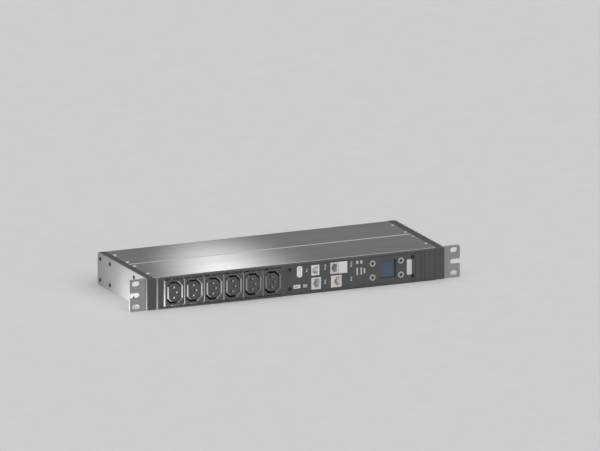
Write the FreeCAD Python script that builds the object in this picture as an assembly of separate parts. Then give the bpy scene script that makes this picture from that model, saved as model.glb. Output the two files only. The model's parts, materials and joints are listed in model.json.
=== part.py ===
import FreeCAD
import Part
import math
import os
from FreeCAD import Vector

# A 1U rack power distribution unit. Millimetres, +Z up, front towards -Y, +X to the viewer's right.
# The origin is the middle of the rack slots, on the rear face of the ears, which meets the rack.

# Rack standard
slot_spacing = 465.1
slot_pitch = 31.75
ear_tip = 8.75
ear_root = 15.05
bracket_height = 44.0

# Mounting brackets
sheet = 2.0
bend_radius = 1.0
slot_width = 6.8
slot_length = 10.5
ear_corner = 2.3
plate_corner = 2.0

# Housing
body_depth = 158.0
rear_depth = 78.0
housing_height = 43.4
wall = 2.0
seam_groove_width = 1.5
seam_groove_depth = 1.0
profile_edge = 1.2
web_setback = 4.0
tongue_length = 3.5
tongue_thickness = 1.5
tongue_root = 4.0
slide_clearance = 0.2

# End caps
cap_width = 9.0
cap_proud = 2.9
cap_edge = 0.5
flange_clearance = 0.2
plug_length = 10.0
plug_wall = 5.0
plug_clearance = 0.3

# Screws: a head is its radius and height
head_sides = 8
shank_sides = 6
screw_radius = 1.5
screw_clearance = 0.2
thread_clearance = 0.05
screw_head = (2.8, 0.8)
top_screw_depth = 6.4
top_screw_inset = 3.5
top_screw_seam_gap = 12.0
top_screw_front_gap = 26.0
top_screw_rear_gap = 24.0
side_screw_length = 8.0
side_screw_rise = 14.5
side_screw_front_y = 38.0
side_screw_rear_gaps = (41.0, 9.0)

# Front bezel
bezel_end_gap = 3.7
bezel_frame = 7.8
bezel_height = 43.2
bezel_proud = 4.5
bezel_edge = 0.8
bay_height = 38.0
ledge_thickness = 2.0
ledge_width = 1.4
rim_depth = 6.0
rim_inset = 10.0
panel_gap = 0.4
mullion_width = 6.6

# Socket outlets
outlet_count = 6
outlet_side_gap = 2.4
outlet_height = 34.2
outlet_proud = 2.0
outlet_edge = 0.5
outlet_spacing_gap = 0.4
flange_thickness = 1.5
flange_height = 37.4
outlet_depth = 16.0
outlet_body_inset = 0.3
moat_width = 23.4
moat_height = 30.4
moat_depth = 16.5
moat_gap = 3.0
earth_corner = 7.0
pin_corner = 5.6
core_setback = 0.5
core_skin = 1.5
pin_slot_width = 4.2
pin_slot_height = 2.4
pin_rise = 7.0
pin_offset = 2.0
clip_room = 1.2
latch_width = 7.0
latch_height = 1.5
latch_offset = 6.7
hook_reach = 1.2
hook_length = 2.8

# Busbars
busbar_thickness = 1.0
busbar_height = 5.6
busbar_inset = 1.0
leaf_thickness = 0.6
leaf_width = 3.6
leaf_gap = 1.8
leaf_setback = 3.0

# Control panel: the faceplate's share of the bay's width, its pieces' shares of its own width,
# and how far their middle lies above the unit's
faceplate_share = 0.481
faceplate_height = 37.4
panel_lift = 0.5
panel_screw_inset = 4.0
panel_screw_rise = 13.2
panel_head = (2.5, 0.9)
panel_screw_length = 7.0
boss_size = 7.0
boss_length = 6.0
end_ledge = 8.2
board_gap = 14.5
board_thickness = 1.6
board_height = 32.0
board_inset = 9.2
pillar_size = 5.0
pillar_shares = (0.1653, 0.2969, 0.4968, 0.9153)
pillar_rises = (9.0, 0.0, -11.0, 0.0)
board_screw_radius = 1.2
board_head = (2.2, 1.4)
board_screw_bite = 6.0
cutout_clearance = 0.15
port_proud = 0.3

# Modular jacks: their height from the middle, width and tallness, and how many contacts
jack_rise = 9.2
serial_jack_size = (11.6, 14.0)
sensor_jack_size = (14.0, 16.2)
upper_network_size = (12.0, 15.6)
lower_network_size = (15.4, 16.2)
serial_jack_share = 0.2202
sensor_jack_share = 0.2266
upper_network_share = 0.3699
lower_network_share = 0.3833
serial_contact_count = 6
contact_count = 8
jack_depth = 12.5
jack_mouth = 6.8
jack_mouth_margin = 1.9
jack_latch_width = 1.7
jack_latch_height = 6.0
contact_pitch = 1.02
contact_reach = 1.8
contact_start = 2.0
contact_end = 9.0

# Data port, service port and reset button
data_port_share = 0.0965
data_port_rise = 9.4
data_port_size = (5.9, 13.4)
data_lip = 0.8
data_lip_thickness = 0.6
shell_thickness = 0.4
tongue_plate = (3.2, 11.6)
tongue_setback = 1.0
tongue_base = 3.0
service_port_share = 0.0768
service_port_rise = -11.0
service_port_size = (9.6, 4.8)
service_mouth = (7.2, 3.2)
service_depth = 6.5
service_tongue = (5.0, 0.9)
reset_share = 0.1407
reset_rise = -11.0
reset_size = (6.0, 4.6)

# Menu buttons and their rings
button_shares = (0.6658, 0.8868)
button_rise = 9.7
button_radius = 2.1
button_clearance = 0.25
button_travel = 0.5
button_setback = 0.3
collar_margin = 0.8
collar_thickness = 0.7
collar_gap = 0.3
plunger_size = 2.4
switch_size = 6.0
switch_height = 3.4
switch_gap = 0.3
ring_radius = 4.25
ring_proud = 0.6
ring_sides = 24

# Status lights: a row of two above a row of three
light_shares = (0.5470, 0.5786, 0.6034)
upper_light_rise = 13.5
upper_light_width = 3.2
upper_light_lengths = (4.6, 4.6)
lower_light_rise = 1.2
lower_light_width = 2.2
lower_light_lengths = (10.0, 10.0, 7.4)

# Display, badge and label
display_share = 0.7840
display_rise = -0.1
display_window = (25.0, 25.2)
display_recess = 4.0
display_frame_wall = 1.2
glass_margin = 1.8
glass_thickness = 1.2
module_margin = 2.6
module_thickness = 4.0
holder_wall = 2.0
holder_inset = 1.0
badge_rise = -0.3
badge_share = 0.9520
badge_size = (7.2, 21.0)
badge_corner = 1.6
label_jack_gap = 0.3
label_rise = 9.1
label_size = (12.2, 16.0)
film = 0.3

# Blank cover
blank_width = 19.9
blank_grooves = (8.2, 13.0)
blank_groove_width = 0.8
blank_groove_depth = 0.6

# Power board and what it carries
power_board_x = (-70.0, 115.0)
power_board_front = 7.0
power_board_rear = 8.0
board_lift = 5.0
standoff_inset = 5.0
standoff_radius = 3.0
supply_x = 25.0
supply_rear_gap = 3.0
supply_size = (55.0, 38.0, 20.0)
supply_edge = 2.0
sensor_at = -58.0
sensor_length = 8.0
sensor_size = 13.0
sensor_hole = 3.5
terminal_size = (12.0, 33.0, 9.0)
terminal_pitch = 11.0
terminal_y = 24.0
terminal_edge = 1.5
input_terminal_x = 96.0
output_terminal_x = -34.0
wire_radius = 1.5
wire_sides = 6
wire_bend = 9.0
wire_drop_x = (-95.0, -107.0, -119.0)
wire_level_y = 52.0
wire_window_margin = 6.0
wire_window_height = 24.0

# Link cable between the boards
link_share = 0.4489
link_width = 10.0
link_thickness = 1.0
link_bend = 6.0
link_drop = 18.0
link_plug_depth = 6.0
link_plug_height = 5.0
link_plug_margin = 1.0
link_window_margin = 4.0
link_window_height = 16.0

# Rear inlet
inlet_end_gap = 41.5
inlet_flange = (50.0, 31.0, 2.5)
inlet_flange_corner = 3.0
inlet_body = (34.0, 25.0, 26.0)
inlet_cavity = (30.6, 21.4, 19.0)
inlet_corner = 3.0
inlet_pin = (8.0, 2.0, 17.0)
inlet_pin_spread = 6.5
inlet_pin_rise = 4.0
inlet_tab_length = 5.0
inlet_screw_offset = 21.0


def panel_x(share):
    """An X place from its share of the faceplate's width."""
    return faceplate_x0 + share * faceplate_width


# Places worked out from the sizes above

ear_front_y = -sheet
ear_end_x = slot_spacing / 2 + ear_tip
half_width = slot_spacing / 2 - ear_root
seam_y = body_depth - rear_depth
cap_outer_x = half_width - sheet
profile_end = cap_outer_x - cap_width
half_height = housing_height / 2
inner_height = half_height - wall
web_rear_y = seam_y - web_setback
web_front_y = web_rear_y - wall
rear_wall_y = body_depth - wall
bezel_front_y = ear_front_y - bezel_proud
ledge_y = ear_front_y - ledge_thickness
opening_height = bay_height - 2 * ledge_width
rim_rear_y = ear_front_y + rim_depth
bezel_width = 2 * (profile_end - bezel_end_gap)
bay_width = bezel_width - 2 * bezel_frame
faceplate_width = faceplate_share * bay_width
panels_width = mullion_width + faceplate_width + blank_width + 4 * panel_gap
outlet_pitch = (bay_width - outlet_side_gap - panels_width) / outlet_count
outlets_x0 = -bay_width / 2 + outlet_side_gap
outlets_x1 = outlets_x0 + outlet_count * outlet_pitch
outlet_xs = [outlets_x0 + (i + 0.5) * outlet_pitch for i in range(outlet_count)]
outlet_front_y = bezel_front_y - outlet_proud
outlet_rear_y = ledge_y + outlet_depth
flange_front_y = ledge_y - flange_thickness
mullion_x0 = outlets_x1 + panel_gap
mullion_x1 = mullion_x0 + mullion_width
faceplate_x0 = mullion_x1 + panel_gap
faceplate_x1 = faceplate_x0 + faceplate_width
blank_x0 = faceplate_x1 + panel_gap
blank_x1 = blank_x0 + blank_width
board_front_y = bezel_front_y + board_gap
board_rear_y = board_front_y + board_thickness
port_front_y = bezel_front_y - port_proud
panel_screw_places = [
    (x, z)
    for x in (faceplate_x0 + panel_screw_inset, faceplate_x1 - panel_screw_inset)
    for z in (panel_lift - panel_screw_rise, panel_lift + panel_screw_rise)
]
pillar_places = [(panel_x(share), z) for share, z in zip(pillar_shares, pillar_rises)]
data_port_at = (panel_x(data_port_share), panel_lift + data_port_rise)
service_port_at = (panel_x(service_port_share), panel_lift + service_port_rise)
reset_at = (panel_x(reset_share), panel_lift + reset_rise)
display_at = (panel_x(display_share), panel_lift + display_rise)
label_left_x = panel_x(upper_network_share) + upper_network_size[0] / 2 + label_jack_gap
label_at = (label_left_x + label_size[0] / 2, panel_lift + label_rise)
badge_at = (panel_x(badge_share), panel_lift + badge_rise)
button_levels = (panel_lift + button_rise, panel_lift - button_rise)
button_places = [(panel_x(share), z) for share in button_shares for z in button_levels]
upper_jacks_z = panel_lift + jack_rise
lower_jacks_z = panel_lift - jack_rise
jacks = {
    "serial_jack": (serial_jack_share, upper_jacks_z, serial_jack_size, serial_contact_count),
    "sensor_jack": (sensor_jack_share, lower_jacks_z, sensor_jack_size, contact_count),
    "upper_network_jack": (upper_network_share, upper_jacks_z, upper_network_size, contact_count),
    "lower_network_jack": (lower_network_share, lower_jacks_z, lower_network_size, contact_count),
}
light_rows = (
    (panel_lift + upper_light_rise, upper_light_width, upper_light_lengths),
    (panel_lift + lower_light_rise, lower_light_width, lower_light_lengths),
)
button_front_y = bezel_front_y - ring_proud + button_setback
collar_front_y = ledge_y + collar_gap
plunger_end_y = board_front_y - switch_height - switch_gap - button_travel
glass_front_y = bezel_front_y + display_recess
power_board_y = (seam_y + power_board_front, rear_wall_y - power_board_rear)
power_board_z = -inner_height + board_lift
power_top_z = power_board_z + board_thickness
terminal_ys = [seam_y + terminal_y + terminal_pitch * i for i in (-1, 0, 1)]
terminal_z = power_top_z + terminal_size[2] / 2
supply_y = power_board_y[1] - supply_rear_gap - supply_size[1] / 2
link_x = panel_x(link_share)
link_drop_y = seam_y + link_drop
inlet_x = profile_end - inlet_end_gap
top_screw_ys = (
    ear_front_y + top_screw_front_gap,
    seam_y - top_screw_seam_gap,
    seam_y + top_screw_seam_gap,
    body_depth - top_screw_rear_gap,
)
side_screw_ys = [side_screw_front_y] + [body_depth - gap for gap in side_screw_rear_gaps]

ALONG_X = Vector(1, 0, 0)
ALONG_Y = Vector(0, 1, 0)
ALONG_Z = Vector(0, 0, 1)


def span(centre, size):
    """The two ends of a size that is centred on a value."""
    return (centre - size / 2, centre + size / 2)


def block(x, y, z):
    """A block between the two values given for each axis."""
    return Part.makeBox(x[1] - x[0], y[1] - y[0], z[1] - z[0], Vector(x[0], y[0], z[0]))


def rod(radius, x, y, z):
    """A round bar along Y, between the two values of y."""
    return Part.makeCylinder(radius, y[1] - y[0], Vector(x, y[0], z), ALONG_Y)


def edges_along(shape, direction):
    """The straight edges of a shape that run along a direction."""
    found = []
    for edge in shape.Edges:
        if isinstance(edge.Curve, Part.Line) and abs(edge.Curve.Direction.dot(direction)) > 0.999:
            found.append(edge)
    return found


def edges_on(shape, axis, value):
    """The edges of a shape that lie in the plane where one coordinate has a value."""
    return [e for e in shape.Edges if all(abs(v.Point[axis] - value) < 1e-6 for v in e.Vertexes)]


def rounded(shape, direction, radius):
    """A shape with its edges along one direction rounded."""
    return shape.makeFillet(radius, edges_along(shape, direction))


def long_slot(x, z, length, width, y):
    """A slot through Y with round ends; its length runs along X."""
    half = (length - width) / 2
    middle = block((x - half, x + half), y, span(z, width))
    return middle.fuse([rod(width / 2, x + end, y, z) for end in (-half, half)]).removeSplitter()


def many_sided(radius, centre, normal, sides):
    """A flat regular outline with its corners on a circle."""
    turn = FreeCAD.Rotation(ALONG_Z, normal)
    corners = []
    for i in range(sides):
        angle = 2 * math.pi * i / sides
        corners.append(centre + turn.multVec(Vector(math.cos(angle), math.sin(angle), 0) * radius))
    return Part.makePolygon(corners + corners[:1])


def prism(radius, start, reach, sides=shank_sides):
    """A bar with flat sides that runs from a start along the vector reach."""
    return Part.Face(many_sided(radius, start, reach, sides)).extrude(reach)


def extruded(outline, axis_map, direction):
    """A solid from a closed list of points, each turned into a vector, pushed along a direction."""
    points = [axis_map(*p) for p in outline]
    return Part.Face(Part.makePolygon(points + points[:1])).extrude(direction)


def mirrored(shape):
    """The same piece for the left end."""
    return shape.mirror(Vector(0, 0, 0), ALONG_X)


# Screws

def screw(seat, into, radius, length, head):
    """A screw with its head on a surface at the seat and its shank along the direction into."""
    head_radius, head_height = head
    shank = prism(radius, seat, into * length)
    return prism(head_radius, seat, -into * head_height, head_sides).fuse(shank).removeSplitter()


def side_seats():
    return [
        Vector(half_width, y, z)
        for y in side_screw_ys
        for z in (-side_screw_rise, side_screw_rise)
    ]


def side_screws():
    return [
        screw(seat, -ALONG_X, screw_radius, side_screw_length, screw_head) for seat in side_seats()
    ]


def side_holes():
    reach = -ALONG_X * side_screw_length
    return [prism(screw_radius + thread_clearance, seat, reach) for seat in side_seats()]


def top_seats(ys):
    xs = (-profile_end + top_screw_inset, profile_end - top_screw_inset)
    return [Vector(x, y, half_height) for x in xs for y in ys]


def top_screws():
    return [
        screw(seat, -ALONG_Z, screw_radius, top_screw_depth, screw_head)
        for seat in top_seats(top_screw_ys)
    ]


def top_holes(ys, radius):
    return [prism(radius, seat, -ALONG_Z * top_screw_depth) for seat in top_seats(ys)]


def panel_holes(radius, y):
    """Holes of the faceplate's screws between two values of y."""
    reach = ALONG_Y * (y[1] - y[0])
    return [prism(radius, Vector(x, y[0], z), reach) for x, z in panel_screw_places]


def faceplate_screws():
    return [
        screw(Vector(x, bezel_front_y, z), ALONG_Y, screw_radius, panel_screw_length, panel_head)
        for x, z in panel_screw_places
    ]


def board_holes(y):
    """Holes of the control board's screws between two values of y."""
    radius = board_screw_radius + thread_clearance
    reach = ALONG_Y * (y[1] - y[0])
    return [prism(radius, Vector(x, y[0], z), reach) for x, z in pillar_places]


def control_board_screws():
    return [
        screw(
            Vector(x, board_rear_y, z), -ALONG_Y,
            board_screw_radius, board_screw_bite, board_head
        )
        for x, z in pillar_places
    ]


# Brackets and end caps, made for the right end

def bracket():
    """Side plate and rack ear, folded from one sheet."""
    centre = Vector(half_width + bend_radius, bend_radius, 0)
    corner = math.sqrt(0.5)
    inner = Vector(half_width, bend_radius, 0)
    outer = Vector(half_width - sheet, bend_radius, 0)
    ear_inner = Vector(centre.x, 0, 0)
    ear_outer = Vector(centre.x, ear_front_y, 0)
    bend_inner = centre - Vector(corner, corner, 0) * bend_radius
    bend_outer = centre - Vector(corner, corner, 0) * (bend_radius + sheet)
    tip_outer = Vector(ear_end_x, ear_front_y, 0)
    tip_inner = Vector(ear_end_x, 0, 0)
    rear_inner = Vector(half_width, body_depth, 0)
    rear_outer = Vector(half_width - sheet, body_depth, 0)
    edges = [
        Part.makeLine(rear_outer, outer),
        Part.Arc(outer, bend_outer, ear_outer).toShape(),
        Part.makeLine(ear_outer, tip_outer),
        Part.makeLine(tip_outer, tip_inner),
        Part.makeLine(tip_inner, ear_inner),
        Part.Arc(ear_inner, bend_inner, inner).toShape(),
        Part.makeLine(inner, rear_inner),
        Part.makeLine(rear_inner, rear_outer),
    ]
    folded = Part.Face(Part.Wire(edges)).extrude(ALONG_Z * bracket_height)
    folded.translate(-ALONG_Z * bracket_height / 2)
    ear_edges = edges_on(folded, 0, ear_end_x)
    folded = folded.makeFillet(ear_corner, edges_along(Part.Compound(ear_edges), ALONG_Y))
    plate_edges = edges_on(folded, 1, body_depth)
    folded = folded.makeChamfer(plate_corner, edges_along(Part.Compound(plate_edges), ALONG_X))
    slot_x = slot_spacing / 2
    through = (ear_front_y - sheet, sheet)
    cuts = [
        long_slot(slot_x, z, slot_length, slot_width, through)
        for z in (-slot_pitch / 2, slot_pitch / 2)
    ]
    reach = 2 * ear_tip + slot_length
    cuts.append(long_slot(slot_x + (reach - slot_length) / 2, 0, reach, slot_width, through))
    return folded.cut(cuts + side_holes())


def plug(y):
    """The hollow spigot of an end cap that slides into a profile between two values of y."""
    x = (profile_end - plug_length, profile_end)
    z = inner_height - plug_clearance
    outer = block(x, (y[0] + plug_clearance, y[1] - plug_clearance), (-z, z))
    hollow_y = (y[0] + plug_clearance + plug_wall, y[1] - plug_clearance - plug_wall)
    return outer.cut(block(x, hollow_y, (plug_wall - z, z - plug_wall)))


def end_cap():
    """The dark block between a side plate and the profiles; a flange in front and two spigots."""
    front_y = ear_front_y - cap_proud
    flange_x0 = bezel_width / 2 + flange_clearance
    flange = block((flange_x0, half_width), (front_y, ear_front_y), (-half_height, half_height))
    flange = flange.makeChamfer(cap_edge, edges_on(flange, 1, front_y))
    slab = block((profile_end, cap_outer_x), (ear_front_y, body_depth), (-half_height, half_height))
    front_plug = plug((0, web_front_y))
    rear_plug = plug((seam_y + tongue_root, rear_wall_y))
    cap = slab.fuse([flange, front_plug, rear_plug])
    cuts = side_holes() + top_holes(top_screw_ys, screw_radius + thread_clearance)
    return cap.cut(cuts).removeSplitter()


# Extruded profiles

def profile(half_outline):
    """An extrusion that is the same above and below the middle; points are (y, z) of the upper half."""
    lower = [(y, -z) for y, z in reversed(half_outline)]
    start = -profile_end
    return extruded(half_outline + lower, lambda y, z: Vector(start, y, z), ALONG_X * 2 * profile_end)


def front_profile():
    """Channel open to the front; its web has windows for the wires and the link cable."""
    channel = profile([
        (web_front_y, inner_height),
        (ear_front_y, inner_height),
        (ear_front_y, half_height - profile_edge),
        (ear_front_y + profile_edge, half_height),
        (seam_y - seam_groove_width, half_height),
        (seam_y, half_height - seam_groove_depth),
        (seam_y, inner_height),
        (web_rear_y, inner_height),
    ])
    web = (web_front_y, web_rear_y)
    wires = (min(wire_drop_x) - wire_window_margin, max(wire_drop_x) + wire_window_margin)
    windows = [
        block(wires, web, span(0, wire_window_height)),
        block(span(link_x, link_width + 2 * link_window_margin), web, span(0, link_window_height)),
    ]
    return channel.cut(windows + top_holes(top_screw_ys[:2], screw_radius + screw_clearance))


def rear_profile():
    """Channel closed at the rear, with tongues under the front profile's edges."""
    tongue_top = inner_height - slide_clearance
    tongue_low = tongue_top - tongue_thickness
    channel = profile([
        (rear_wall_y, inner_height),
        (seam_y + tongue_root, inner_height),
        (seam_y + tongue_root, tongue_low),
        (seam_y - tongue_length, tongue_low),
        (seam_y - tongue_length, tongue_top),
        (seam_y, tongue_top),
        (seam_y, half_height - seam_groove_depth),
        (seam_y + seam_groove_width, half_height),
        (body_depth - profile_edge, half_height),
        (body_depth, half_height - profile_edge),
    ])
    width, height, _ = inlet_body
    inlet_hole = block(
        span(inlet_x, width + 2 * cutout_clearance),
        (rear_wall_y, body_depth),
        span(0, height + 2 * cutout_clearance),
    )
    holes = top_holes(top_screw_ys[2:], screw_radius + screw_clearance)
    return channel.cut([inlet_hole] + inlet_screw_holes() + holes)


# Front bezel and blank cover

def front_bezel():
    """Frame with a stepped opening for the outlets and one for the control panel."""
    outer = block(span(0, bezel_width), (bezel_front_y, ear_front_y), span(0, bezel_height))
    outer = outer.makeChamfer(bezel_edge, edges_on(outer, 1, bezel_front_y))
    rim_x = span(0, 2 * profile_end - 2 * plug_length - 2 * rim_inset)
    rim_y = (ear_front_y, rim_rear_y)
    rim_z = (opening_height / 2, inner_height - plug_clearance)
    rims = [block(rim_x, rim_y, rim_z), block(rim_x, rim_y, (-rim_z[1], -rim_z[0]))]
    boss_y = (ear_front_y, ear_front_y + boss_length)
    bosses = [block(span(x, boss_size), boss_y, span(z, boss_size)) for x, z in panel_screw_places]
    frame = outer.fuse(rims + bosses)
    recess_y = (bezel_front_y, ledge_y)
    through_y = (ledge_y, ear_front_y)
    cuts = [
        block((-bay_width / 2, mullion_x0), recess_y, span(0, bay_height)),
        block((mullion_x1, bay_width / 2), recess_y, span(0, bay_height)),
        block((outlets_x0, outlets_x1), through_y, span(0, opening_height)),
        block(
            (mullion_x1 + end_ledge, faceplate_x1 - end_ledge), through_y, span(0, opening_height)
        ),
    ]
    bite = (ledge_y, bezel_front_y + panel_screw_length)
    cuts += panel_holes(screw_radius + thread_clearance, bite)
    return frame.cut(cuts).removeSplitter()


def blank_cover():
    """Plate over the unused bay, with two upright grooves."""
    plate = block((blank_x0, blank_x1), (bezel_front_y, ledge_y), span(0, faceplate_height))
    groove_y = (bezel_front_y, bezel_front_y + blank_groove_depth)
    grooves = [
        block(span(blank_x0 + at, blank_groove_width), groove_y, span(0, faceplate_height))
        for at in blank_grooves
    ]
    return plate.cut(grooves)


# Socket outlets and busbars

def socket_block(x, width, height, y, trim):
    """The socket's form: small corners on the pin side, large ones on the earth side."""
    form = block(span(x, width), y, span(0, height))
    edges = edges_along(form, ALONG_Y)
    form = form.makeChamfer(earth_corner - trim, [e for e in edges if e.CenterOfMass.x > x])
    edges = [e for e in edges_along(form, ALONG_Y) if e.CenterOfMass.x < x]
    return form.makeChamfer(pin_corner - trim, edges)


def contact_places(x):
    """The middle of the line, neutral and earth slots of an outlet."""
    return [(x - pin_offset, pin_rise), (x - pin_offset, -pin_rise), (x + pin_offset, 0)]


def hook(x, side):
    """A snap hook that holds the outlet behind the bezel's rim."""
    base = outlet_height / 2 - outlet_body_inset
    outline = [
        (rim_rear_y + slide_clearance, base),
        (rim_rear_y + slide_clearance, base + hook_reach),
        (rim_rear_y + hook_length, base),
    ]
    left = x - latch_width / 2
    return extruded(outline, lambda y, z: Vector(left, y, side * z), ALONG_X * latch_width)


def outlet(x):
    """A socket outlet: flange, raised front, body, and a core that stands in a deep moat."""
    width = outlet_pitch - outlet_spacing_gap
    raised = block(
        span(x, width), (outlet_front_y, flange_front_y), span(0, outlet_height)
    )
    raised = raised.makeChamfer(outlet_edge, edges_on(raised, 1, outlet_front_y))
    flange = block(span(x, width), (flange_front_y, ledge_y), span(0, flange_height))
    body_width_here = width - 2 * outlet_body_inset
    body_height = outlet_height - 2 * outlet_body_inset
    body = block(span(x, body_width_here), (ledge_y, outlet_rear_y), span(0, body_height))
    floor_y = outlet_front_y + moat_depth
    moat = socket_block(x, moat_width, moat_height, (outlet_front_y, floor_y), 0)
    core_y = outlet_front_y + core_setback
    core = socket_block(
        x, moat_width - 2 * moat_gap, moat_height - 2 * moat_gap, (core_y, floor_y),
        moat_gap / 2
    )
    solid = raised.fuse([flange, body, hook(x, 1), hook(x, -1)]).cut(moat).fuse(core)
    cuts = []
    for slot_x, slot_z in contact_places(x):
        mouth_y = (core_y, core_y + core_skin)
        room_y = (core_y + core_skin, outlet_rear_y)
        cuts.append(block(span(slot_x, pin_slot_width), mouth_y, span(slot_z, pin_slot_height)))
        cuts.append(block(
            span(slot_x, pin_slot_width), room_y, span(slot_z, pin_slot_height + 2 * clip_room)
        ))
    latch_z = flange_height / 2
    for low, high in ((latch_z - latch_height, latch_z), (-latch_z, latch_height - latch_z)):
        cuts.append(block(span(x - latch_offset, latch_width), (flange_front_y, ledge_y), (low, high)))
    return solid.cut(cuts).removeSplitter()


def busbar(index):
    """A stamped strip behind the outlets with a pair of spring leaves for each socket."""
    places = [contact_places(x)[index] for x in outlet_xs]
    level = places[0][1]
    strip_x = (outlets_x0 + busbar_inset, outlets_x1 - busbar_inset)
    strip_y = (outlet_rear_y, outlet_rear_y + busbar_thickness)
    strip = block(strip_x, strip_y, span(level, busbar_height))
    leaf_y = (outlet_front_y + core_setback + leaf_setback, outlet_rear_y)
    leaves = []
    for x, z in places:
        for side in (-1, 1):
            leaf_z = z + side * (leaf_gap + leaf_thickness) / 2
            leaves.append(block(span(x, leaf_width), leaf_y, span(leaf_z, leaf_thickness)))
    return strip.fuse(leaves).removeSplitter()


# Control panel

def cut_window(at, size, clearance, y):
    """A cut-out of the faceplate, a clearance wider than what passes through it."""
    return block(
        span(at[0], size[0] + 2 * clearance), y, span(at[1], size[1] + 2 * clearance)
    )


def light_pipes(y, grow):
    """The bars of the status lights, each side widened by a clearance."""
    return [
        block(span(panel_x(share), width + 2 * grow), y, span(z, length + 2 * grow))
        for z, width, lengths in light_rows
        for share, length in zip(light_shares, lengths)
    ]


def control_faceplate():
    """Plate with every opening of the control panel, the display's frame and the board's pillars."""
    y = (bezel_front_y, ledge_y)
    plate = block((faceplate_x0, faceplate_x1), y, span(0, faceplate_height))
    pillar_y = (ledge_y, board_front_y)
    pillars = [
        block(span(x, pillar_size), pillar_y, span(z, pillar_size)) for x, z in pillar_places
    ]
    frame_size = [side + 2 * display_frame_wall for side in display_window]
    frame_y = (ledge_y, glass_front_y)
    display_frame = block(
        span(display_at[0], frame_size[0]), frame_y, span(display_at[1], frame_size[1])
    )
    plate = plate.fuse(pillars + [display_frame])
    cuts = [
        cut_window((panel_x(share), z), size, cutout_clearance, y)
        for share, z, size, _ in jacks.values()
    ]
    cuts.append(cut_window(data_port_at, data_port_size, cutout_clearance, y))
    cuts.append(cut_window(service_port_at, service_port_size, cutout_clearance, y))
    cuts.append(cut_window(reset_at, reset_size, button_clearance, y))
    cuts.append(cut_window(display_at, display_window, 0, (bezel_front_y, glass_front_y)))
    cap = (2 * button_radius, 2 * button_radius)
    cuts += [cut_window(at, cap, button_clearance, y) for at in button_places]
    cuts += panel_holes(screw_radius + screw_clearance, y)
    cuts += light_pipes(y, cutout_clearance)
    cuts += board_holes((board_rear_y - board_screw_bite, board_front_y))
    return plate.cut(cuts).removeSplitter()


def control_board():
    x = (faceplate_x0 + board_inset, faceplate_x1 - board_inset)
    y = (board_front_y, board_rear_y)
    return block(x, y, span(0, board_height)).cut(board_holes(y))


def jack_mouth_x(share, width):
    """The right side of a jack's mouth, where its contact wires lie."""
    return panel_x(share) + width / 2 - jack_mouth_margin


def jack(share, z, size):
    """A modular jack turned on its side: plug mouth with a keyway for the latch on the left."""
    width, height = size
    y = (port_front_y, port_front_y + jack_depth)
    body = block(span(panel_x(share), width), (port_front_y, board_front_y), span(z, height))
    right = jack_mouth_x(share, width)
    left = right - jack_mouth
    mouth = block((left, right), y, span(z, height - 2 * jack_mouth_margin))
    keyway = block((left - jack_latch_width, left), y, span(z, jack_latch_height))
    return body.cut([mouth, keyway])


def contact_inserts():
    """The slanting block of contacts on the right wall of each jack's mouth."""
    inserts = []
    near = port_front_y + contact_start
    far = port_front_y + contact_end
    for share, z, size, count in jacks.values():
        right = jack_mouth_x(share, size[0])
        low = z - count * contact_pitch / 2
        outline = [(right, near), (right, far), (right - contact_reach, far)]
        inserts.append(extruded(
            outline, lambda x, y, base=low: Vector(x, y, base), ALONG_Z * count * contact_pitch
        ))
    return inserts


def data_port_shell():
    """Folded metal sleeve with a lip that stands on the faceplate."""
    x, z = data_port_at
    width, height = data_port_size
    lip_y = (bezel_front_y - data_lip_thickness, bezel_front_y)
    lip = block(span(x, width + 2 * data_lip), lip_y, span(z, height + 2 * data_lip))
    sleeve = block(span(x, width), (bezel_front_y, board_front_y), span(z, height))
    hollow = block(
        span(x, width - 2 * shell_thickness), (lip_y[0], board_front_y),
        span(z, height - 2 * shell_thickness)
    )
    return lip.fuse(sleeve).cut(hollow).removeSplitter()


def port_tongues():
    """The white tongue of the data port on its base, and the small one of the service port."""
    x, z = data_port_at
    width, height = [side - 2 * shell_thickness for side in data_port_size]
    base = block(span(x, width), (board_front_y - tongue_base, board_front_y), span(z, height))
    plate_y = (bezel_front_y + tongue_setback, board_front_y - tongue_base)
    plate = block(span(x, tongue_plate[0]), plate_y, span(z, tongue_plate[1]))
    data_tongue = base.fuse(plate).removeSplitter()
    x, z = service_port_at
    small_y = (bezel_front_y + tongue_setback, port_front_y + service_depth)
    small = block(span(x, service_tongue[0]), small_y, span(z, service_tongue[1]))
    return [data_tongue, small]


def service_port():
    x, z = service_port_at
    width, height = service_port_size
    shell = block(span(x, width), (port_front_y, board_front_y), span(z, height))
    mouth_y = (port_front_y, port_front_y + service_depth)
    return shell.cut(block(span(x, service_mouth[0]), mouth_y, span(z, service_mouth[1])))


# Buttons, rings and switches

def button_back(x, z, width, height):
    """The collar that keeps a button behind the faceplate, and the plunger that works its switch."""
    collar_y = (collar_front_y, collar_front_y + collar_thickness)
    collar = block(span(x, width + 2 * collar_margin), collar_y, span(z, height + 2 * collar_margin))
    return collar.fuse(block(span(x, plunger_size), (collar_y[1], plunger_end_y), span(z, plunger_size)))


def menu_button(x, z):
    """Round cap that moves through a square hole of the faceplate."""
    cap = rod(button_radius, x, (button_front_y, collar_front_y), z)
    return cap.fuse(button_back(x, z, 2 * button_radius, 2 * button_radius)).removeSplitter()


def reset_button():
    """Square cap, moved with a pointed tool or a fingertip."""
    x, z = reset_at
    cap = block(span(x, reset_size[0]), (port_front_y, collar_front_y), span(z, reset_size[1]))
    return cap.fuse(button_back(x, z, *reset_size)).removeSplitter()


def button_ring(x, z):
    """Light ring on the faceplate, round a button."""
    start = Vector(x, bezel_front_y, z)
    reach = -ALONG_Y * ring_proud
    bore_radius = (button_radius + button_clearance) / math.cos(math.pi / ring_sides)
    bore = prism(bore_radius, start, reach, ring_sides)
    return prism(ring_radius, start, reach, ring_sides).cut(bore)


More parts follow.
